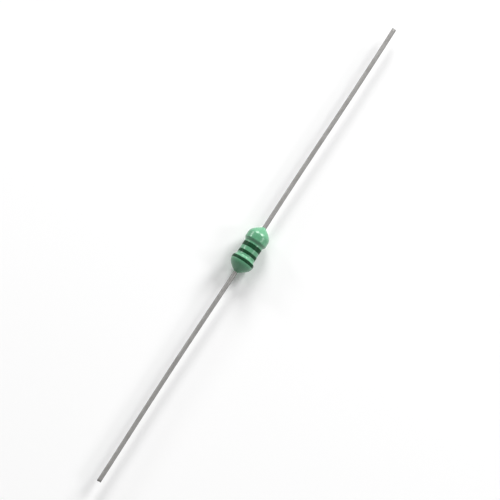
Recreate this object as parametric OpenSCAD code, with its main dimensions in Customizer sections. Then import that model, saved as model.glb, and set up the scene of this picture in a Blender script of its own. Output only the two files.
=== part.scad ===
// Axial inductor: a wound ferrite drum core carried by two tinned leads,
// dipped in epoxy and ringed with bands of ink.
// Frame: origin on the lead axis midway between the lead ends, +X along the leads, +Z up.

/* [Leads] */
// Diameter of each round tinned lead
lead_d = 0.5; // [0.4:0.02:0.6]
// Bare length of each lead beyond the coating
lead_out = 28; // [10:1:40]
// Bevel left by the shears on the outer end of each lead
lead_bevel = 0.06; // [0.02:0.01:0.1]
// Length of round wire inside each end of the coating
round_in = 0.25; // [0.2:0.05:0.3]
// Thickness of the flattened shank inside the body, which stops the lead from turning
shank_t = 0.34; // [0.26:0.02:0.4]
// How far the flattened shank spreads past the round wire on each side
shank_spread = 0.05; // [0.02:0.01:0.07]
// Bevel on the corners of the flattened shank
shank_bevel = 0.08; // [0.05:0.01:0.1]

/* [Core] */
// Diameter of both flanges of the drum
flange_d = 2.1; // [1.9:0.05:2.4]
// Thickness of each flange
flange_w = 0.7; // [0.6:0.05:1]
// Bevel on both rims of each flange
flange_bevel = 0.08; // [0.02:0.01:0.12]
// Diameter of the post that carries the winding
post_d = 1.1; // [1:0.05:1.2]
// Length of the post between the flanges
post_len = 2.2; // [1.8:0.1:3]
// Depth of the blind lead hole in each end
hole_depth = 0.95; // [0.8:0.05:1.1]
// Depth of the wire slot across each flange's rim
slot_depth = 0.18; // [0.14:0.01:0.24]
// Room on each side of the wire in its slot
slot_clearance = 0.05; // [0.03:0.01:0.1]

/* [Winding] */
// Diameter of the enamelled wire
wire_d = 0.11; // [0.08:0.01:0.12]
// Layers of turns on the post
layers = 3; // [2:1:3]
// Least room between the turns and each flange
wind_margin = 0.03; // [0.02:0.01:0.08]
// Turns of each wire end round its lead
wraps = 2; // [1:1:3]
// Bend radius of the wire ends, to the middle of the wire
bend_r = 0.08; // [0.07:0.005:0.085]
// Gap between a wire end and the core it crosses
tail_gap = 0.01; // [0.01:0.005:0.02]
// Gap between the wraps and the corners of the lead's shank, which solder fills
wrap_gap = 0.01; // [0.01:0.005:0.02]
// Turn about the lead axis of the left wire end, in degrees
tail_turn_left = 120; // [0:5:355]
// Turn about the lead axis of the right wire end, in degrees
tail_turn_right = 250; // [0:5:355]

/* [Resin and solder] */
// Least thickness of adhesive round each lead in its hole
glue_wall = 0.1; // [0.09:0.01:0.13]
// Thickness of adhesive under the end of each lead
glue_floor = 0.06; // [0.04:0.01:0.1]
// Thickness of solder over the wire wraps
solder_cover = 0.09; // [0.05:0.01:0.12]
// Length over which the solder tapers out along the lead
solder_taper = 0.4; // [0.2:0.05:0.5]
// Least thickness at which the solder ends on the lead
solder_film = 0.02; // [0.02:0.005:0.03]

/* [Coating] */
// Coating thickness over the winding, at the waist
coat_waist = 0.27; // [0.2:0.01:0.35]
// Coating thickness over the left flange
coat_left = 0.32; // [0.25:0.01:0.4]
// Coating thickness over the right flange
coat_right = 0.3; // [0.25:0.01:0.4]
// Reach of the coating past the left end of the core
coat_reach_left = 1.05; // [1:0.05:1.4]
// Reach of the coating past the right end of the core
coat_reach_right = 1.35; // [1.2:0.05:1.6]
// Length of the domed end from the lead to the full bulge
dome_len = 1.35; // [1.2:0.05:1.45]
// Length of the meniscus where each dome runs out on its lead
meniscus_len = 0.15; // [0.1:0.01:0.25]
// Thickness at which the coating ends on the lead
coat_film = 0.03; // [0.03:0.005:0.05]
// Length of the slope from the waist up to each bulge
shoulder_len = 0.45; // [0.3:0.05:0.5]

/* [Colour bands] */
// Place of the first band's middle along the leads
band_first_x = 0.31; // [0.1:0.01:0.4]
// Distance from one band to the next
band_pitch = 0.93; // [0.8:0.01:1]
// Width of the first band
band_1_w = 0.55; // [0.4:0.05:0.6]
// Width of the second band
band_2_w = 0.4; // [0.3:0.05:0.5]
// Width of the third band
band_3_w = 0.4; // [0.3:0.05:0.5]
// Thickness of the ink
ink_t = 0.03; // [0.02:0.005:0.04]

/* [Hidden] */
$fn = 72;

LEFT = -1;
RIGHT = 1;

lead_r = lead_d / 2;
wire_r = wire_d / 2;
flange_r = flange_d / 2;
post_r = post_d / 2;

shank_half_w = lead_r + shank_spread;
shank_half_t = shank_t / 2;

// Furthest corner of the flattened shank from its axis
shank_r = norm([shank_half_w, shank_half_t - shank_bevel]);
hole_r = shank_r + glue_wall;

// Root by which the round wire runs on inside its flattened shank
root_r = shank_half_t - shank_bevel;
root_len = round_in / 2;

// Nested layers sit in each other's grooves, so each one after the first adds less than a wire
layer_rise = wire_d * sin(60);
wound_r = post_r + wire_d + (layers - 1) * layer_rise;
turns = floor((post_len - 2 * wind_margin) / wire_d);

outline_steps = 90;    // stations along the coating's outline
scallop_step = 30;     // degrees between points round one wire of a wound pack
taper_steps = 8;       // points along the solder's taper
over = 0.2;            // how far a cutter runs past the face that it opens
wrap_lag = 0.3;        // share of a wire's width by which the wraps start beyond the core's end

core_len = post_len + 2 * flange_w;
body_half = (core_len + coat_reach_left + coat_reach_right) / 2;
core_x = (coat_reach_left - coat_reach_right) / 2;
waist_r = wound_r + coat_waist;

wrap_in_r = shank_r + wrap_gap;
solder_r = wrap_in_r + wire_d + solder_cover;
wrap_start = tail_gap + wrap_lag * wire_d;
wrap_len = wrap_start + wraps * wire_d;
slot_wire_r = flange_r - slot_depth + tail_gap + wire_r;

function inner_face(side) = post_len / 2 + side * core_x;
function outer_face(side) = core_len / 2 + side * core_x;
function bulge_r(side) = flange_r + (side == LEFT ? coat_left : coat_right);

// 0 to 1 along a smooth slope
function ease(t) = let (c = max(0, min(1, t))) c * c * (3 - 2 * c);

// Radius of a domed end at a distance from its tip: a meniscus that flows into a paraboloid
function dome_r(side, from_tip) =
    let (
        base = lead_r + coat_film,
        rise = bulge_r(side) - base,
        t = min(1, (from_tip - meniscus_len) / (dome_len - meniscus_len)),
        start = rise * meniscus_len / dome_len
    )
    from_tip < meniscus_len
        ? base + rise * from_tip * from_tip / (dome_len * meniscus_len)
        : base + start + (rise - start) * (1 - (1 - t) * (1 - t));

// How much of a bulge stands over the waist at x
function shoulder(side, x) = ease((side * x - inner_face(side)) / shoulder_len + 0.5);

// Radius of the coating at x: the waist and both shoulders, held down by the dome of the nearer end
function coat_r(x) =
    let (side = x < core_x ? LEFT : RIGHT)
    min(
        dome_r(side, body_half - side * x),
        waist_r + (bulge_r(side) - waist_r) * shoulder(side, x)
    );

coat_outline = [
    for (i = [0 : outline_steps])
        let (x = -body_half + 2 * body_half * i / outline_steps)
        [x, coat_r(x)]
];

// Turns the revolved shapes, which are made along Z, onto the lead axis
module along_x() {
    rotate([0, 90, 0]) children();
}

// Places one end's shapes, made for the right-hand end, at either end
module at_end(side) {
    if (side == LEFT) mirror([1, 0, 0]) along_x() children();
    else along_x() children();
}

// Turns of wire packed side by side from z = 0, filling from r_in out to crests at r_out
module wound_pack(count, r_in, r_out) {
    crests = [
        for (i = [0 : count - 1], a = [0 : scallop_step : 180 - scallop_step])
            [r_out - wire_r + wire_r * sin(a), (i + 0.5) * wire_d - wire_r * cos(a)]
    ];
    rotate_extrude()
        polygon(concat(
            [[r_in, 0]], crests, [[r_out - wire_r, count * wire_d], [r_in, count * wire_d]]
        ));
}

// Quarter bend of wire in the XZ plane, turning from +Z to -X
module wire_bend() {
    rotate([90, 0, 0]) rotate_extrude(angle = 90) translate([bend_r, 0]) circle(wire_r);
}

// Wire end of one side: out of the pack, through the flange's slot and down the core's end to the lead
module wire_tail(side) {
    z_in = inner_face(side) - tail_gap - wire_r;
    z_out = outer_face(side) + tail_gap + wire_r;
    bend_x = slot_wire_r - bend_r;
    r_start = wound_r - wire_d;
    r_end = wrap_in_r + wire_r;
    rotate([0, 0, side == LEFT ? tail_turn_left : tail_turn_right]) {
        translate([r_start, 0, z_in]) rotate([0, 90, 0]) cylinder(h = bend_x - r_start, r = wire_r);
        translate([bend_x, 0, z_in + bend_r]) rotate([0, 90, 0]) wire_bend();
        translate([slot_wire_r, 0, z_in + bend_r]) cylinder(h = z_out - z_in - 2 * bend_r, r = wire_r);
        translate([bend_x, 0, z_out - bend_r]) wire_bend();
        translate([r_end, 0, z_out]) rotate([0, 90, 0]) cylinder(h = bend_x - r_end, r = wire_r);
    }
}

// Turns of the wire end round its lead
module lead_wraps(side) {
    translate([0, 0, outer_face(side) + wrap_start]) wound_pack(wraps, wrap_in_r, wrap_in_r + wire_d);
}

// Cross-section of the flattened shank
shank_outline = [
    [shank_half_w, shank_half_t - shank_bevel], [shank_half_w - shank_bevel, shank_half_t],
    [shank_bevel - shank_half_w, shank_half_t], [-shank_half_w, shank_half_t - shank_bevel],
    [-shank_half_w, shank_bevel - shank_half_t], [shank_bevel - shank_half_w, -shank_half_t],
    [shank_half_w - shank_bevel, -shank_half_t], [shank_half_w, shank_bevel - shank_half_t]
];

// Right-hand half of the drum's outline, from the post out and round the flange to the axis
drum_half_outline = [
    [post_r, post_len / 2],
    [flange_r - flange_bevel, post_len / 2],
    [flange_r, post_len / 2 + flange_bevel],
    [flange_r, core_len / 2 - flange_bevel],
    [flange_r - flange_bevel, core_len / 2],
    [0, core_len / 2]
];

// The drum's outer form, before its holes and slots
module drum_blank() {
    rotate_extrude()
        polygon(concat(
            drum_half_outline,
            [for (i = [len(drum_half_outline) - 1 : -1 : 0])
                [drum_half_outline[i][0], -drum_half_outline[i][1]]]
        ));
}

module wire_slot(side) {
    slot_w = wire_d + 2 * slot_clearance;
    rotate([0, 0, side == LEFT ? tail_turn_left : tail_turn_right])
        translate([flange_r - slot_depth, -slot_w / 2, inner_face(side) - over])
            cube([slot_depth + over, slot_w, flange_w + 2 * over]);
}

// Round lead with a bevelled outer end, flattened to a bevelled shank where it is inside the body
module lead_wire(side) {
    z_inner = outer_face(side) - hole_depth + glue_floor;
    z_round = body_half - round_in;
    z_tip = body_half + lead_out;
    rotate_extrude()
        polygon([
            [0, z_round - root_len], [root_r, z_round - root_len], [root_r, z_round],
            [lead_r, z_round], [lead_r, z_tip - lead_bevel], [lead_r - lead_bevel, z_tip],
            [0, z_tip]
        ]);
    translate([0, 0, z_inner])
        linear_extrude(z_round - z_inner)
            polygon(shank_outline);
}

// Solder collar over the wraps, tapering out along the lead, before the lead and wire are cut from it
module solder_blank(side) {
    end_r = shank_r + solder_film;
    taper = [
        for (i = [0 : taper_steps])
            let (t = i / taper_steps)
            [end_r + (solder_r - end_r) * (1 - ease(t)), wrap_len + solder_taper * t]
    ];
    translate([0, 0, outer_face(side)])
        rotate_extrude()
            polygon(concat([[0, 0], [solder_r, 0]], taper, [[0, wrap_len + solder_taper]]));
}

// Ring of ink that follows the coating's outline over a width
module ink_band(middle, width) {
    from_x = middle - width / 2;
    to_x = middle + width / 2;
    under = concat(
        [[from_x, lookup(from_x, coat_outline)]],
        [for (p = coat_outline) if (p[0] > from_x && p[0] < to_x) p],
        [[to_x, lookup(to_x, coat_outline)]]
    );
    last = len(under) - 1;
    along_x()
        rotate_extrude()
            polygon(concat(
                [for (p = under) [p[1], p[0]]],
                [for (i = [last : -1 : 0]) [under[i][1] + ink_t, under[i][0]]]
            ));
}

module epoxy_coating() {
    color("mediumseagreen")
        difference() {
            along_x()
                rotate_extrude()
                    polygon(concat(
                        [[0, -body_half]], [for (p = coat_outline) [p[1], p[0]]], [[0, body_half]]
                    ));
            translate([core_x, 0, 0]) along_x() drum_blank();
            translate([core_x - post_len / 2, 0, 0]) along_x() cylinder(h = post_len, r = wound_r);
            for (side = [LEFT, RIGHT]) {
                at_end(side) solder_blank(side);
                at_end(side) wire_tail(side);
                at_end(side) lead_wire(side);
            }
        }
}

module drum_core() {
    color("dimgray")
        difference() {
            translate([core_x, 0, 0]) along_x() drum_blank();
            for (side = [LEFT, RIGHT]) {
                at_end(side) wire_slot(side);
                at_end(side)
                    translate([0, 0, outer_face(side) - hole_depth])
                        cylinder(h = hole_depth + over, r = hole_r);
            }
        }
}

module winding() {
    color("chocolate") {
        translate([core_x - turns * wire_d / 2, 0, 0])
            along_x() wound_pack(turns, post_r, wound_r);
        for (side = [LEFT, RIGHT]) {
            at_end(side) wire_tail(side);
            at_end(side) lead_wraps(side);
        }
    }
}

module lead(side) {
    color("silver") at_end(side) lead_wire(side);
}

module lead_adhesive(side) {
    color("cornsilk")
        difference() {
            at_end(side)
                translate([0, 0, outer_face(side) - hole_depth])
                    cylinder(h = hole_depth, r = hole_r);
            at_end(side) lead_wire(side);
        }
}

module solder_joint(side) {
    color("lightsteelblue")
        difference() {
            at_end(side) solder_blank(side);
            at_end(side) lead_wire(side);
            at_end(side) wire_tail(side);
            at_end(side) lead_wraps(side);
        }
}

module colour_band(number) {
    widths = [band_1_w, band_2_w, band_3_w];
    color("darkslategray") ink_band(band_first_x - (number - 1) * band_pitch, widths[number - 1]);
}

epoxy_coating();
drum_core();
winding();
lead(LEFT);  // lead_left
lead(RIGHT);  // lead_right
lead_adhesive(LEFT);  // lead_adhesive_left
lead_adhesive(RIGHT);  // lead_adhesive_right
solder_joint(LEFT);  // solder_joint_left
solder_joint(RIGHT);  // solder_joint_right
colour_band(1);  // colour_band_1
colour_band(2);  // colour_band_2
colour_band(3);  // colour_band_3
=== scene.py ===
import math

import bmesh
import bpy
from mathutils import Matrix, Vector


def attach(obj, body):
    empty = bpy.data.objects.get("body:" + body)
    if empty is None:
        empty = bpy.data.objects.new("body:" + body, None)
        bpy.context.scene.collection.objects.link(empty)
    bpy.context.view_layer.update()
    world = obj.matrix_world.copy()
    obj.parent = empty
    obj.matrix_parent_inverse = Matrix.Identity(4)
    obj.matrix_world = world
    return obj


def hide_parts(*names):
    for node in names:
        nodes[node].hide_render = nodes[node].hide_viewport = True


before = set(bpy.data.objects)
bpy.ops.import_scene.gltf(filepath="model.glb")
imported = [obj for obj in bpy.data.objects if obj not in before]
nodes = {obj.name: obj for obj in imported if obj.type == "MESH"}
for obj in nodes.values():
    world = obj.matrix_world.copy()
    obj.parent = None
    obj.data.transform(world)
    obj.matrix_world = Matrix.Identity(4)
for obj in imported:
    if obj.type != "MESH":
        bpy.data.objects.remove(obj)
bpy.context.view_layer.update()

MM = 0.001

# Sizes of the finished part, in metres. The leads lie along X, and the body's middle is at 0.
BODY_HALF = 3.0 * MM
BULGE_LEFT = 1.37 * MM
BULGE_RIGHT = 1.35 * MM
LEAD_R = 0.25 * MM
LEAD_TIP = 31.0 * MM

# The flattened inner end of each lead: its section, and where it starts and turns round
SHANK_HALF_W = 0.3 * MM
SHANK_HALF_T = 0.17 * MM
SHANK_CORNER = 0.3132 * MM
SHANK_FROM_LEFT = 1.06 * MM
SHANK_FROM_RIGHT = 0.76 * MM
ROUND_FROM = 2.75 * MM

# The drum core, and the wire in layers that nest between the turns below them
CORE_MIDDLE = -0.15 * MM
POST_R = 0.55 * MM
POST_LEN = 2.2 * MM
FLANGE_R = 1.05 * MM
FLANGE_W = 0.7 * MM
SLOT_DEPTH = 0.18 * MM
WIRE_D = 0.11 * MM
LAYER_RISE = WIRE_D * math.sin(math.radians(60))
TURNS_IN_LAYER = 19
LAYERS = 3

COATING = {
    "Body Half": BODY_HALF,
    "Core Middle": CORE_MIDDLE,
    "Waist Radius": 1.1205 * MM,
    "Left Bulge": BULGE_LEFT,
    "Right Bulge": BULGE_RIGHT,
    "Left Shoulder": -1.25 * MM,
    "Right Shoulder": 0.95 * MM,
    "Shoulder Length": 0.45 * MM,
    "Dome Length": 1.35 * MM,
    "Meniscus Length": 0.15 * MM,
    "Film Radius": 0.265 * MM,
    "Unevenness": 0.03 * MM,
    "Sag": 0.02 * MM,
    "Creep": 0.09 * MM,
    "Seed": 4.0,
}

INK = {"Ink": 0.015 * MM, "Depth": 0.02 * MM, "Waver": 0.055 * MM}

RINGS = (
    ("ink_ring_1", {"Middle": 0.31 * MM, "Width": 0.55 * MM, "Ring Seed": 1.0}),
    ("ink_ring_2", {"Middle": -0.62 * MM, "Width": 0.4 * MM, "Ring Seed": 5.0}),
    ("ink_ring_3", {"Middle": -1.55 * MM, "Width": 0.4 * MM, "Ring Seed": 9.0}),
)

WINDING = {
    "Wire Diameter": WIRE_D,
    "Inner Radius": POST_R,
    "Turns": float(TURNS_IN_LAYER),
    "Layers": float(LAYERS),
    "Layer Rise": LAYER_RISE,
    "Pitch": WIRE_D,
    "Middle": CORE_MIDDLE,
}


# ---------------------------------------------------------------- node trees written as expressions


def operator(operation):
    """A method that works on the signal and then on another value."""
    return lambda self, other: self.maths(operation, self, other)


def reflected(operation):
    """The same with the other value first."""
    return lambda self, other: self.maths(operation, other, self)


class Signal:
    """One output socket of a node tree. Arithmetic on it adds Math nodes."""

    def __init__(self, tree, socket=None):
        self.tree = tree
        self.socket = socket

    def node(self, kind, settings=None, inputs=None, output=0):
        """Adds a node, makes its settings, then gives its sockets values or links."""
        made = self.tree.nodes.new(kind)
        for name, value in (settings or {}).items():
            setattr(made, name, value)
        for key, value in (inputs or {}).items():
            socket = pick(made.inputs, key)
            if isinstance(value, Signal):
                self.tree.links.new(value.socket, socket)
            else:
                socket.default_value = value
        return Signal(self.tree, pick(made.outputs, output))

    def beside(self, output):
        """Another output of the node that this signal comes from."""
        return Signal(self.tree, pick(self.socket.node.outputs, output))

    def maths(self, operation, *values):
        """A Math node on these values."""
        return self.node("ShaderNodeMath", {"operation": operation}, dict(enumerate(values)))

    __add__, __radd__ = operator("ADD"), reflected("ADD")
    __sub__, __rsub__ = operator("SUBTRACT"), reflected("SUBTRACT")
    __mul__, __rmul__ = operator("MULTIPLY"), reflected("MULTIPLY")
    __truediv__, __rtruediv__ = operator("DIVIDE"), reflected("DIVIDE")
    __pow__ = operator("POWER")
    __lt__ = operator("LESS_THAN")
    __gt__ = operator("GREATER_THAN")

    def __neg__(self):
        return self * -1.0

    def clamp(self):
        """Held between 0 and 1."""
        return self.maths("MAXIMUM", self.maths("MINIMUM", self, 1.0), 0.0)

    def ease(self):
        """0 to 1 along a smooth slope."""
        t = self.clamp()
        return t * t * (3.0 - 2.0 * t)

    def blend(self, low, high):
        """low where this is 0, high where it is 1."""
        return low + self * (high - low)

    def colours(self, low, high):
        """The colour low where this is 0, high where it is 1."""
        return self.node(
            "ShaderNodeMix",
            {"data_type": "RGBA", "blend_type": "MIX", "clamp_factor": True},
            {"Factor_Float": self, "A_Color": low, "B_Color": high},
            "Result_Color",
        )


def pick(sockets, key):
    """The socket with that number, identifier or name."""
    if isinstance(key, int):
        return sockets[key]
    for socket in sockets:
        if socket.identifier == key:
            return socket
    return sockets[key]


# ---------------------------------------------------------------- finishes


def finish(name, fixed=None):
    """A new material with uniform values on its shader, and a Signal to write the others with."""
    material = bpy.data.materials.new(name)
    material.use_nodes = True
    shader = material.node_tree.nodes["Principled BSDF"]
    for socket, value in (fixed or {}).items():
        shader.inputs[socket].default_value = value
    return material, shader, Signal(material.node_tree)


def feed(shader, varying):
    """Links what changes over the surface to its sockets on the shader."""
    for socket, signal in varying.items():
        signal.tree.links.new(signal.socket, shader.inputs[socket])


def place(start, stretch=(1.0, 1.0, 1.0)):
    """The piece's own coordinates in millimetres, stretched along its axes."""
    where = start.node("ShaderNodeTexCoord", output="Object")
    scale = tuple(v / MM for v in stretch)
    return start.node(
        "ShaderNodeMapping", {"vector_type": "POINT"}, {"Vector": where, "Scale": scale}
    )


def noise(at, per_mm, detail=2.0, roughness=0.5):
    """Soft spots from 0 to 1, about that many to a millimetre."""
    return at.node(
        "ShaderNodeTexNoise",
        {"noise_dimensions": "3D"},
        {"Vector": at, "Scale": per_mm, "Detail": detail, "Roughness": roughness},
        "Fac",
    )


def bump(height, strength, distance):
    """The surface's direction where it rises and falls with that height."""
    return height.node(
        "ShaderNodeBump", {}, {"Height": height, "Strength": strength, "Distance": distance}
    )


def band_of(value, low, high):
    """0 below low, 1 above high, a straight slope between."""
    return ((value - low) / (high - low)).clamp()


def full_range(pattern):
    """A noise with its usual values, 0.3 to 0.7, stretched to 0 to 1."""
    return band_of(pattern, 0.3, 0.7)


def green_epoxy():
    """Glossy dipped resin: cloudy pigment with pale flecks, a little dust and a few pinholes."""
    deep, light = (0.057, 0.275, 0.130, 1), (0.090, 0.340, 0.174, 1)
    fleck_tone, dust_tone = (0.205, 0.46, 0.31, 1), (0.42, 0.52, 0.44, 1)
    material, shader, start = finish(
        "green_epoxy", {"Specular IOR Level": 0.5, "Coat Roughness": 0.18, "Coat IOR": 1.5}
    )
    at = place(start)
    cloud = noise(at, per_mm=1.1, detail=3.0)
    fleck = noise(at, per_mm=9.0)
    ripple = noise(at, per_mm=3.2, detail=1.0)
    dust = band_of(noise(at, per_mm=14.0, detail=4.0, roughness=0.7), 0.62, 0.8)
    cell = at.node(
        "ShaderNodeTexVoronoi", {"feature": "F1"}, {"Vector": at, "Scale": 1.6}, "Distance"
    )
    pinhole = band_of(cell, 0.05, 0.1)
    pigment = full_range(cloud).colours(deep, light)
    flecked = (band_of(fleck, 0.45, 0.75) * 0.24).colours(pigment, fleck_tone)
    skin_height = ripple * 0.8 + fleck * 0.12 + pinhole * 0.1
    feed(
        shader,
        {
            "Base Color": (dust * 0.25).colours(flecked, dust_tone),
            "Roughness": 0.3 + 0.16 * cloud + 0.25 * dust,
            "Coat Weight": 0.55 - 0.4 * dust,
            "Normal": bump(skin_height, strength=0.35, distance=0.05 * MM),
        },
    )
    return material


def dark_ink():
    """Printed ink, nearly matt, that lets the green through where it is thin."""
    dark, darker = (0.004, 0.050, 0.017, 1), (0.0015, 0.034, 0.010, 1)
    green_below = (0.030, 0.12, 0.06, 1)
    material, shader, start = finish(
        "dark_ink", {"Specular IOR Level": 0.1, "Coat Roughness": 0.25}
    )
    at = place(start)
    cloud = noise(at, per_mm=2.0, detail=3.0)
    thin = band_of(noise(at, per_mm=6.0, detail=3.0, roughness=0.6), 0.6, 0.78)
    ink = full_range(cloud).colours(darker, dark)
    feed(
        shader,
        {
            "Base Color": (thin * 0.5).colours(ink, green_below),
            "Roughness": 0.3 + 0.2 * cloud,
            "Coat Weight": 0.08 - 0.06 * thin,
            "Normal": bump(noise(at, per_mm=7.0, detail=3.0), strength=0.25, distance=0.02 * MM),
        },
    )
    return material


def tinned_wire():
    """Drawn and tinned copper wire: fine marks along it, dull stains and small dark spots."""
    grey, silver = (0.185, 0.182, 0.176, 1), (0.27, 0.266, 0.258, 1)
    stain_tone, spot_tone = (0.15, 0.143, 0.135, 1), (0.10, 0.093, 0.086, 1)
    material, shader, start = finish("tinned_wire")
    drawn = place(start, stretch=(0.35, 7.0, 7.0))
    at = place(start)
    marks = noise(drawn, per_mm=3.0, detail=4.0, roughness=0.65)
    dull = noise(at, per_mm=0.9, detail=4.0, roughness=0.6)
    spots = band_of(noise(at, per_mm=8.0, detail=3.0, roughness=0.6), 0.6, 0.75)
    bright = full_range(marks).colours(grey, silver)
    stained = (band_of(dull, 0.4, 0.75) * 0.55).colours(bright, stain_tone)
    feed(
        shader,
        {
            "Base Color": (spots * 0.3).colours(stained, spot_tone),
            "Metallic": 1.0 - 0.25 * spots,
            "Roughness": 0.32 + 0.2 * dull + 0.1 * marks,
            "Normal": bump(marks + 0.4 * spots, strength=0.3, distance=0.012 * MM),
        },
    )
    return material


def enamelled_copper():
    """Copper wire under a clear, slightly uneven enamel."""
    brown, copper = (0.40, 0.13, 0.045, 1), (0.56, 0.22, 0.085, 1)
    material, shader, start = finish("enamelled_copper", {"Coat Roughness": 0.08})
    at = place(start)
    tone = noise(at, per_mm=2.5, detail=3.0)
    feed(
        shader,
        {
            "Base Color": full_range(tone).colours(brown, copper),
            "Roughness": 0.22 + 0.16 * tone,
            "Metallic": 0.9 + 0.1 * tone,
            "Coat Weight": 0.7 + 0.3 * tone,
            "Normal": bump(noise(at, per_mm=14.0), strength=0.15, distance=0.01 * MM),
        },
    )
    return material


def ferrite():
    """Sintered ferrite: near black and grainy, with paler chips."""
    black, slate = (0.026, 0.025, 0.026, 1), (0.048, 0.045, 0.045, 1)
    chip_tone = (0.1, 0.096, 0.094, 1)
    material, shader, start = finish("ferrite")
    at = place(start)
    grain = noise(at, per_mm=18.0, detail=4.0, roughness=0.7)
    tone = noise(at, per_mm=1.6)
    chips = band_of(noise(at, per_mm=7.0), 0.63, 0.74)
    body = full_range(tone).colours(black, slate)
    feed(
        shader,
        {
            "Base Color": (chips * 0.7).colours(body, chip_tone),
            "Roughness": 0.52 + 0.2 * grain,
            "Normal": bump(grain - 0.5 * chips, strength=0.4, distance=0.02 * MM),
        },
    )
    return material


def core_adhesive():
    """Cured amber adhesive."""
    amber, honey = (0.33, 0.2, 0.075, 1), (0.5, 0.34, 0.15, 1)
    material, shader, start = finish("core_adhesive")
    at = place(start)
    tone = noise(at, per_mm=4.0, detail=3.0)
    feed(
        shader,
        {
            "Base Color": full_range(tone).colours(amber, honey),
            "Roughness": 0.26 + 0.2 * tone,
            "Normal": bump(noise(at, per_mm=9.0), strength=0.3, distance=0.02 * MM),
        },
    )
    return material


def solder():
    """Solder that has frosted in places as it set."""
    bright, frosted = (0.62, 0.615, 0.6, 1), (0.42, 0.415, 0.4, 1)
    material, shader, start = finish("solder")
    at = place(start)
    frost = noise(at, per_mm=9.0, detail=4.0, roughness=0.65)
    flow = noise(at, per_mm=2.2)
    feed(
        shader,
        {
            "Base Color": band_of(frost, 0.35, 0.7).colours(bright, frosted),
            "Roughness": 0.14 + 0.3 * frost,
            "Metallic": 0.94 + 0.06 * flow,
            "Normal": bump(flow + 0.2 * frost, strength=0.3, distance=0.02 * MM),
        },
    )
    return material


FINISHES = {
    "green_epoxy": green_epoxy(),
    "dark_ink": dark_ink(),
    "tinned_wire": tinned_wire(),
    "enamelled_copper": enamelled_copper(),
    "ferrite": ferrite(),
    "core_adhesive": core_adhesive(),
    "solder": solder(),
}


# ---------------------------------------------------------------- meshes


def add_object(name, data):
    """A new object in the scene."""
    thing = bpy.data.objects.new(name, data)
    bpy.context.scene.collection.objects.link(thing)
    return thing


def opened(mesh):
    """A mesh as work in hand."""
    work = bmesh.new()
    work.from_mesh(mesh)
    return work


def write_outwards(work, mesh):
    """Ends the work on a closed shape, with its faces outwards."""
    bmesh.ops.recalc_face_normals(work, faces=work.faces)
    work.to_mesh(mesh)
    work.free()


def make_plain(piece):
    """Gives the piece the mesh that its modifiers make, and removes them."""
    depsgraph = bpy.context.evaluated_depsgraph_get()
    mesh = bpy.data.meshes.new_from_object(piece.evaluated_get(depsgraph))
    piece.modifiers.clear()
    piece.data = mesh


def join_rings(work, rings):
    """A closed tube through rings of vertices, smooth along its side and flat across its ends."""
    for a, b in zip(rings, rings[1:]):
        for i in range(len(a)):
            j = (i + 1) % len(a)
            work.faces.new((a[i], a[j], b[j], b[i])).smooth = True
    work.faces.new(rings[0])
    work.faces.new(rings[-1])


# ---------------------------------------------------------------- shapes grown by Geometry Nodes


def sized_tree(name, sizes):
    """An empty geometry tree with one named number for each size, and a Signal for each."""
    tree = bpy.data.node_groups.new(name, "GeometryNodeTree")
    tree.interface.new_socket("Geometry", in_out="OUTPUT", socket_type="NodeSocketGeometry")
    for label, value in sizes.items():
        socket = tree.interface.new_socket(label, in_out="INPUT", socket_type="NodeSocketFloat")
        socket.default_value = value
    entry = tree.nodes.new("NodeGroupInput")
    return tree, {label: Signal(tree, entry.outputs[label]) for label in sizes}


def close_tree(shape, material, weld):
    """Ends a tree: seams and poles welded, smooth, made real and painted."""
    for kind, inputs in (
        ("GeometryNodeMergeByDistance", {"Distance": weld}),
        ("GeometryNodeSetShadeSmooth", {}),
        ("GeometryNodeRealizeInstances", {}),
        ("GeometryNodeSetMaterial", {"Material": material}),
    ):
        shape = shape.node(kind, {}, {"Geometry": shape, **inputs})
    end = shape.tree.nodes.new("NodeGroupOutput")
    shape.tree.links.new(shape.socket, end.inputs["Geometry"])


def grown(name, tree, sizes):
    """The plain mesh object that a tree makes at these sizes, with its faces outwards."""
    piece = add_object(name, bpy.data.meshes.new(name))
    modifier = piece.modifiers.new(name, "NODES")
    modifier.node_group = tree
    for item in tree.interface.items_tree:
        if item.in_out == "INPUT":
            modifier[item.identifier] = sizes[item.name]
    make_plain(piece)
    write_outwards(opened(piece.data), piece.data)
    return piece


def unrolled_sheet(start, along, around):
    """A flat grid to be rolled up: its shape, its place along from 0 to 1, its angle in turns."""
    sheet = start.node(
        "GeometryNodeMeshGrid",
        {},
        {"Size X": 1.0, "Size Y": 1.0, "Vertices X": along, "Vertices Y": around + 1},
        "Mesh",
    )
    where = start.node("GeometryNodeInputPosition")
    along_it = start.node("ShaderNodeSeparateXYZ", {}, {"Vector": where}, "X")
    return sheet, along_it + 0.5, along_it.beside("Y") + 0.5


def circle(turn, radius):
    """Y and Z of a point at that turn and radius round the lead axis."""
    angle = turn * math.tau
    return radius * angle.maths("COSINE", angle), radius * angle.maths("SINE", angle)


def moved(shape, x, y, z):
    """The shape with its points at these places."""
    spot = shape.node("ShaderNodeCombineXYZ", {}, {"X": x, "Y": y, "Z": z})
    return shape.node("GeometryNodeSetPosition", {}, {"Geometry": shape, "Position": spot})


def rolled(sheet, x, radius, turn, lift):
    """The sheet rolled round the lead axis at that radius."""
    y, z = circle(turn, radius)
    return moved(sheet, x, y, z + lift)


def seeded_noise(x, y, z, seed, scale, detail, roughness=0.5):
    """A noise from -1 to 1 that changes with its seed."""
    spot = seed.node("ShaderNodeCombineXYZ", {}, {"X": x, "Y": y, "Z": z})
    value = seed.node(
        "ShaderNodeTexNoise",
        {"noise_dimensions": "4D"},
        {"Vector": spot, "W": seed, "Scale": scale, "Detail": detail, "Roughness": roughness},
        "Fac",
    )
    return value * 2.0 - 1.0


SEAM_WELD = 0.0004 * MM
# How softly the domed ends run into the bulges
DOME_BLEND = 0.06 * MM
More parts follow.
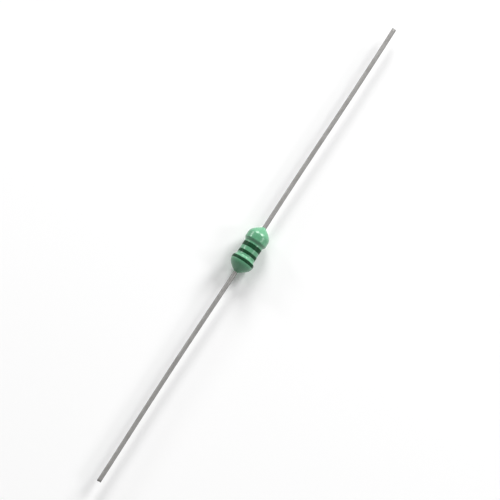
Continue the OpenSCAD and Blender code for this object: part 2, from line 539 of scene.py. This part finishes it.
# A turn round the part is a circle of this radius in the noise of its skin, and of a ring's edge
SKIN_NOISE_R = 1.2
EDGE_NOISE_R = 1.3
# How far from the middle of that noise each of a ring's two edges takes its own waver
EDGES_APART = 3.0


def coat_outline(x, size):
    """Radius of the dipped coating at x: a bulge over each flange, a waist and domed ends."""
    left = x < size["Core Middle"]
    bulge = left.blend(size["Right Bulge"], size["Left Bulge"])
    edge = left.blend(size["Right Shoulder"], -size["Left Shoulder"])
    out = left.blend(x, -x)
    rise = ((out - edge) / size["Shoulder Length"] + 0.5).ease()
    drum = rise.blend(size["Waist Radius"], bulge)
    tip = size["Body Half"] - out
    film, flow, dome = size["Film Radius"], size["Meniscus Length"], size["Dome Length"]
    height = bulge - film
    foot = film + height * tip * tip / (dome * flow)
    t = ((tip - flow) / (dome - flow)).clamp()
    start = height * flow / dome
    crown = film + start + (height - start) * (1.0 - (1.0 - t) * (1.0 - t))
    cap = (tip < flow).blend(crown, foot)
    return drum.maths("SMOOTH_MIN", drum, cap, DOME_BLEND)


def coat_surface(x, turn, size):
    """Place along the axis and radius of the real, slightly uneven skin, and how far it sags."""
    body_fade, tip_fade = 0.8 * MM, 0.45 * MM
    y, z = circle(turn, SKIN_NOISE_R)
    broad = seeded_noise(x / MM, y, z, size["Seed"], scale=0.55, detail=1.0)
    reach = x.maths("ABSOLUTE", x)
    body = ((size["Body Half"] - reach) / body_fade).ease()
    tip = ((reach - size["Body Half"]) / tip_fade + 1.0).ease()
    crept = x * (1.0 + broad * size["Creep"] * tip / size["Body Half"])
    radius = coat_outline(x, size) + broad * size["Unevenness"] * body
    return crept, radius, -size["Sag"] * body


def dipped_coating():
    """The dipped skin: the coating's outline rolled round the axis and closed at both leads."""
    along, around = 300, 144
    tree, size = sized_tree("dipped_coating", COATING)
    sheet, run, turn = unrolled_sheet(Signal(tree), along, around)
    step = 1.0 / (along - 1)
    share = ((run - step) / (1.0 - 2.0 * step)).clamp()
    x = (share * 2.0 - 1.0) * size["Body Half"]
    open_end = (run > 0.5 * step) * (run < 1.0 - 0.5 * step)
    crept, radius, lift = coat_surface(x, turn, size)
    skin = rolled(sheet, open_end.blend(x, crept), radius * open_end, turn, lift)
    close_tree(skin, FINISHES["green_epoxy"], SEAM_WELD)
    return grown("epoxy_skin", tree, COATING)


def edge_waver(turn, side, size):
    """How far one edge of a ring strays along the axis, as -1 to 1 of the waver."""
    x = EDGES_APART * side
    y, z = circle(turn, EDGE_NOISE_R)
    return seeded_noise(x, y, z, size["Ring Seed"], scale=1.7, detail=4.0, roughness=0.55)


def ink_ring_tree():
    """A ring of ink that lies on the uneven skin, with rounded edges that waver."""
    along, around = 40, 240
    outer_share = 0.6
    flatness = 6.0
    sizes = {**COATING, **INK, **RINGS[0][1]}
    tree, size = sized_tree("ink_ring", sizes)
    sheet, run, turn = unrolled_sheet(Signal(tree), along, around)
    outside = run < outer_share
    back = (1.0 - run) / (1.0 - outer_share)
    v = outside.blend(back, run / outer_share) * 2.0 - 1.0
    left, right = (edge_waver(turn, side, size) for side in (-1.0, 1.0))
    stray = (v * 0.5 + 0.5).blend(left, right) * size["Waver"]
    x = size["Middle"] + v * size["Width"] / 2.0 + stray
    crept, radius, lift = coat_surface(x, turn, size)
    crown = (1.0 - v**flatness).clamp() ** 0.5
    shown = outside * (run > 0.5 / (along - 1))
    over = shown.blend(-size["Depth"], crown * size["Ink"])
    ring = rolled(sheet, crept, radius + over, turn, lift)
    close_tree(ring, FINISHES["dark_ink"], SEAM_WELD)
    return tree, sizes


# ---------------------------------------------------------------- leads


def lead_section(half_w, half_t, squareness, sides):
    """Points of a rounded section across the axis, from round at 1 to flat-sided below it."""
    points = []
    for i in range(sides):
        a = math.tau * i / sides
        c, s = math.cos(a), math.sin(a)
        y = math.copysign(abs(c) ** squareness, c) * half_w
        z = math.copysign(abs(s) ** squareness, s) * half_t
        points.append((y, z))
    return points


def lead_stations(inner, shear):
    """Along a lead: distance from the body's middle, share of flatness, and size of the section."""
    grip, grip_steps = 0.5 * MM, 6
    coin_half, coin_steps = 0.1 * MM, 8
    wire_steps = 130
    round_end = ROUND_FROM + coin_half
    stations = [(inner + grip * i / grip_steps, 1.0, 1.0) for i in range(grip_steps + 1)]
    for i in range(coin_steps + 1):
        share = i / coin_steps
        flat = 1.0 - share
        reach = ROUND_FROM - coin_half + 2.0 * coin_half * share
        stations.append((reach, flat * flat * (3 - 2 * flat), 1.0))
    for i in range(1, wire_steps + 1):
        stations.append((round_end + (shear - round_end) * i / wire_steps, 0.0, 1.0))
    rounded = ((shear + 0.03 * MM, 0.96), (LEAD_TIP, 0.86))
    return stations + [(reach, 0.0, shrink) for reach, shrink in rounded]


def tinned_lead(name, side, inner, phase):
    """A drawn round wire, coined flat where it is inside the body and sheared at its outer end."""
    sides = 40
    round_off, squareness = 1.0, 0.56
    bow_size, bow_twist = 0.11 * MM, 2.1
    dip_size, dip_twist, dip_phase = 0.06 * MM, 3.3, 1.7 * phase
    slant_size = 0.05 * MM
    shear = LEAD_TIP - 0.06 * MM
    round_ring = lead_section(LEAD_R, LEAD_R, round_off, sides)
    flat_ring = lead_section(SHANK_HALF_W, SHANK_HALF_T, squareness, sides)
    work = bmesh.new()
    rings = []
    for reach, flat, shrink in lead_stations(inner, shear):
        out = max(0.0, reach - BODY_HALF) / (LEAD_TIP - BODY_HALF)
        arch = math.sin(math.pi * out)
        bow = bow_size * arch * math.sin(phase + bow_twist * out)
        dip = dip_size * arch * math.cos(dip_phase + dip_twist * out)
        cut = max(0.0, (reach - shear) / (LEAD_TIP - shear))
        back = slant_size if reach > shear else 0.0
        ring = []
        for (ry, rz), (fy, fz) in zip(round_ring, flat_ring):
            y = (ry + (fy - ry) * flat) * shrink
            z = (rz + (fz - rz) * flat) * shrink
            x = side * (reach + slant_size * (y / LEAD_R) * cut - back)
            ring.append(work.verts.new((x, y + bow, z + dip)))
        rings.append(ring)
    join_rings(work, rings)
    mesh = bpy.data.meshes.new(name)
    write_outwards(work, mesh)
    mesh.materials.append(FINISHES["tinned_wire"])
    return add_object(name, mesh)


# ---------------------------------------------------------------- winding

WIRE_SIDES = 9
WIRE_WELD = 0.0001 * MM
# Radius of the wire as a share of its pitch, just under half, so that turns side by side don't meet
WIRE_R_SHARE = 0.49
# Which end of the core, and the bearing of its flange's slot in degrees
TAIL_BEARINGS = ((-1, 120), (1, 250))


def wound_wire():
    """One wire wound to and fro in layers, climbing to the next layer at each flange."""
    steps_in_turn = 30
    climb_turns = 0.7
    just_short = 0.001
    tree, size = sized_tree("wound_wire", WINDING)
    start = Signal(tree)
    points = steps_in_turn * TURNS_IN_LAYER * LAYERS + 1
    line = start.node("GeometryNodeMeshLine", {}, {"Count": points}, "Mesh")
    turn = start.node("GeometryNodeInputIndex") / float(steps_in_turn)
    turns, layers = size["Turns"], size["Layers"]
    layer = turn.maths("FLOOR", turn.maths("MINIMUM", turn / turns, layers - just_short))
    below_last = layer < layers - 1.5
    climb = ((turn - layer * turns - turns + climb_turns) / climb_turns).ease() * below_last
    rise = size["Layer Rise"] * (layer + climb)
    radius = size["Inner Radius"] + size["Wire Diameter"] / 2.0 + rise
    x = (turn.maths("PINGPONG", turn, turns) - turns / 2.0) * size["Pitch"] + size["Middle"]
    path = moved(line, x, *circle(turn, radius))
    curve = start.node("GeometryNodeMeshToCurve", {}, {"Mesh": path})
    ring = start.node(
        "GeometryNodeCurvePrimitiveCircle",
        {},
        {"Resolution": WIRE_SIDES, "Radius": size["Wire Diameter"] * WIRE_R_SHARE},
    )
    wire = start.node(
        "GeometryNodeCurveToMesh", {}, {"Curve": curve, "Profile Curve": ring, "Fill Caps": True}
    )
    close_tree(wire, FINISHES["enamelled_copper"], WIRE_WELD)
    return grown("copper_winding", tree, WINDING)


def tail_path(side, bearing):
    """Middle line of one wire end: out of the coil, through the flange's slot, round the lead."""
    wire_r = WIRE_D / 2
    gap = 0.01 * MM
    bend, bend_steps = 0.08 * MM, 6
    wraps, wrap_steps, wrap_length = 2.1, 60, 1.15 * WIRE_D
    drop_from, landing, landing_rate, first_wrap = 0.16 * MM, 0.1 * MM, 12, 0.3 * wire_r
    rim = FLANGE_R - SLOT_DEPTH + gap + wire_r - bend
    near = POST_LEN / 2 + side * CORE_MIDDLE - gap - wire_r
    far = POST_LEN / 2 + FLANGE_W + side * CORE_MIDDLE + gap + wire_r
    wrap_r = SHANK_CORNER + gap + wire_r
    points = [(POST_R + 2 * LAYER_RISE, 0.0, near), (rim, 0.0, near)]
    quarter = [math.pi / 2 * i / bend_steps for i in range(bend_steps + 1)]
    for a in quarter[1:]:
        points.append((rim + bend * math.sin(a), 0.0, near + bend - bend * math.cos(a)))
    for a in quarter:
        points.append((rim + bend * math.cos(a), 0.0, far - bend + bend * math.sin(a)))
    points.append((wrap_r + drop_from, 0.0, far))
    for i in range(wrap_steps + 1):
        share = i / wrap_steps
        out = wrap_r + landing * max(0.0, 1 - share * landing_rate) ** 2
        points.append((out, math.tau * wraps * share, far + first_wrap + share * wrap_length))
    placed = []
    for out, a, along in points:
        a += math.radians(bearing)
        placed.append(Vector((side * along, out * math.sin(a), -out * math.cos(a))))
    return placed


def add_tube(work, path, radius):
    """A closed round tube along a path."""
    rings = []
    across = (path[1] - path[0]).orthogonal().normalized()
    for i, spot in enumerate(path):
        ahead = (path[min(i + 1, len(path) - 1)] - path[max(i - 1, 0)]).normalized()
        across = (across - ahead * across.dot(ahead)).normalized()
        other = ahead.cross(across)
        ring = []
        for k in range(WIRE_SIDES):
            a = math.tau * k / WIRE_SIDES
            level, rise = radius * math.cos(a), radius * math.sin(a)
            ring.append(work.verts.new(spot + across * level + other * rise))
        rings.append(ring)
    join_rings(work, rings)


def copper_winding():
    """The coil with both its ends, which run out to the leads."""
    piece = wound_wire()
    work = opened(piece.data)
    for side, bearing in TAIL_BEARINGS:
        add_tube(work, tail_path(side, bearing), WIRE_D * WIRE_R_SHARE)
    write_outwards(work, piece.data)
    return piece


# ---------------------------------------------------------------- the coating's hollow


def merged_copy(node):
    """A closed copy of a CAD node, with its loose triangles joined."""
    same_point = 0.00005 * MM
    work = opened(node.data)
    bmesh.ops.remove_doubles(work, verts=work.verts, dist=same_point)
    mesh = bpy.data.meshes.new(node.name + "_form")
    work.to_mesh(mesh)
    work.free()
    return bpy.data.objects.new(mesh.name, mesh)


def copied(piece):
    """A copy of a closed piece."""
    return bpy.data.objects.new(piece.name + "_form", piece.data.copy())


def hollow(piece, forms):
    """Cuts the room for each form out of a piece, and removes the forms."""
    for form in forms:
        bpy.context.scene.collection.objects.link(form)
        cut = piece.modifiers.new(form.name, "BOOLEAN")
        cut.operation = "DIFFERENCE"
        cut.solver = "MANIFOLD"
        cut.object = form
    make_plain(piece)
    for form in forms:
        bpy.data.objects.remove(form)


# ---------------------------------------------------------------- the part

skin = dipped_coating()
lead_left = tinned_lead("tinned_lead_left", -1, SHANK_FROM_LEFT, phase=0.7)
lead_right = tinned_lead("tinned_lead_right", 1, SHANK_FROM_RIGHT, phase=2.4)
coil = copper_winding()
ring_tree, ring_sizes = ink_ring_tree()
rings = [grown(name, ring_tree, {**ring_sizes, **sizes}) for name, sizes in RINGS]

inside = (
    "drum_core",
    "winding",
    "lead_adhesive_left",
    "lead_adhesive_right",
    "solder_joint_left",
    "solder_joint_right",
)
forms = [merged_copy(nodes[name]) for name in inside]
hollow(skin, forms + [copied(lead_left), copied(lead_right)])

for piece, replaced, slot in (
    (skin, "epoxy_coating", "green_epoxy"),
    (coil, "winding", "enamelled_copper"),
    (lead_left, "lead_left", "tinned_wire"),
    (lead_right, "lead_right", "tinned_wire"),
    (rings[0], "colour_band_1", "dark_ink"),
    (rings[1], "colour_band_2", "dark_ink"),
    (rings[2], "colour_band_3", "dark_ink"),
):
    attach(piece, "root")
    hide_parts(replaced)

for name, surface in (
    ("drum_core", "ferrite"),
    ("lead_adhesive_left", "core_adhesive"),
    ("lead_adhesive_right", "core_adhesive"),
    ("solder_joint_left", "solder"),
    ("solder_joint_right", "solder"),
):
    for material_slot in nodes[name].material_slots:
        material_slot.material = FINISHES[surface]


# ---------------------------------------------------------------- floor, light and camera

WHITE = (1, 1, 1, 1)
FLOOR_HALF = 0.6
FLOOR_GAP = 0.05 * MM
FLOOR_GLOW = 0.06
ROOM_LEVEL = 0.11
LAMP_DISTANCE = 1.0
# Name, bearing from the lead axis and elevation in degrees, width in metres, level
LAMPS = (
    ("key_left", 27, 29, 0.4, 0.8),
    ("key_right", -21, 29, 0.4, 0.9),
    ("near_side", 74, 21, 0.2, 0.16),
    ("far_side", -71, 31, 0.2, 0.14),
)
LENS = 154
CAMERA_DISTANCE = 0.241
CAMERA_ELEVATION = 77
# The direction along the floor that is upwards in the camera's view
VIEW_UP = (0.843, 0.537)


def seen_directly(start):
    """1 for what the camera, a gloss or a clear surface sees, 0 for light that falls on things."""
    camera = start.node("ShaderNodeLightPath", output="Is Camera Ray")
    return (camera + camera.beside("Is Glossy Ray") + camera.beside("Is Transmission Ray")).clamp()


def pale_floor():
    """A plain floor just under the body, which the camera sees a little paler than it is."""
    low = -(BULGE_LEFT + FLOOR_GAP)
    corners = ((-1, -1), (1, -1), (1, 1), (-1, 1))
    points = [(x * FLOOR_HALF, y * FLOOR_HALF, low) for x, y in corners]
    mesh = bpy.data.meshes.new("floor")
    mesh.from_pydata(points, [], [(0, 1, 2, 3)])
    material, shader, start = finish(
        "pale_paper", {"Base Color": (0.92, 0.92, 0.92, 1), "Roughness": 0.9}
    )
    strength = seen_directly(start) * FLOOR_GLOW
    glow = start.node("ShaderNodeEmission", {}, {"Color": WHITE, "Strength": strength})
    lit = Signal(start.tree, shader.outputs["BSDF"])
    both = start.node("ShaderNodeAddShader", {}, {0: lit, 1: glow})
    end = material.node_tree.nodes["Material Output"]
    start.tree.links.new(both.socket, end.inputs["Surface"])
    mesh.materials.append(material)
    add_object("floor", mesh)


def room_light():
    """A dim even light from all round, which is white where it is seen directly."""
    world = bpy.data.worlds.new("studio")
    world.use_nodes = True
    bpy.context.scene.world = world
    start = Signal(world.node_tree)
    strength = seen_directly(start).blend(ROOM_LEVEL, 1.0)
    sky = start.node("ShaderNodeBackground", {}, {"Color": WHITE, "Strength": strength})
    end = world.node_tree.nodes["World Output"]
    start.tree.links.new(sky.socket, end.inputs["Surface"])


def aim(thing, position, up):
    """Places a lamp or camera so that it looks at the body's middle, with up towards the top."""
    ahead = -Vector(position).normalized()
    right = ahead.cross(Vector(up)).normalized()
    top = right.cross(ahead)
    turn = Matrix((right, top, -ahead)).transposed().to_4x4()
    thing.matrix_world = Matrix.Translation(position) @ turn


def soft_lamp(name, bearing, elevation, width, level):
    """A square lamp; alone it lights a surface that faces it at that level."""
    lamp = bpy.data.lights.new(name, "AREA")
    lamp.size = width
    lamp.energy = level * math.pi**2 * LAMP_DISTANCE**2
    bearing, elevation = math.radians(bearing), math.radians(elevation)
    flat = math.cos(elevation) * LAMP_DISTANCE
    height = math.sin(elevation) * LAMP_DISTANCE
    spot = (math.cos(bearing) * flat, math.sin(bearing) * flat, height)
    aim(add_object(name, lamp), spot, up=(0, 0, 1))


def eye():
    """The camera, high over the body and a little to its left end's side."""
    camera = bpy.data.cameras.new("camera")
    camera.sensor_width = 36
    camera.lens = LENS
    camera.clip_start = 0.01
    thing = add_object("camera", camera)
    up_x, up_y = VIEW_UP
    tilt = math.radians(CAMERA_ELEVATION)
    away = Vector((-up_x * math.cos(tilt), -up_y * math.cos(tilt), math.sin(tilt)))
    aim(thing, away * CAMERA_DISTANCE, up=(up_x, up_y, 0))
    bpy.context.scene.camera = thing


bpy.context.scene.view_settings.view_transform = "Standard"
pale_floor()
room_light()
for lamp in LAMPS:
    soft_lamp(*lamp)
eye()
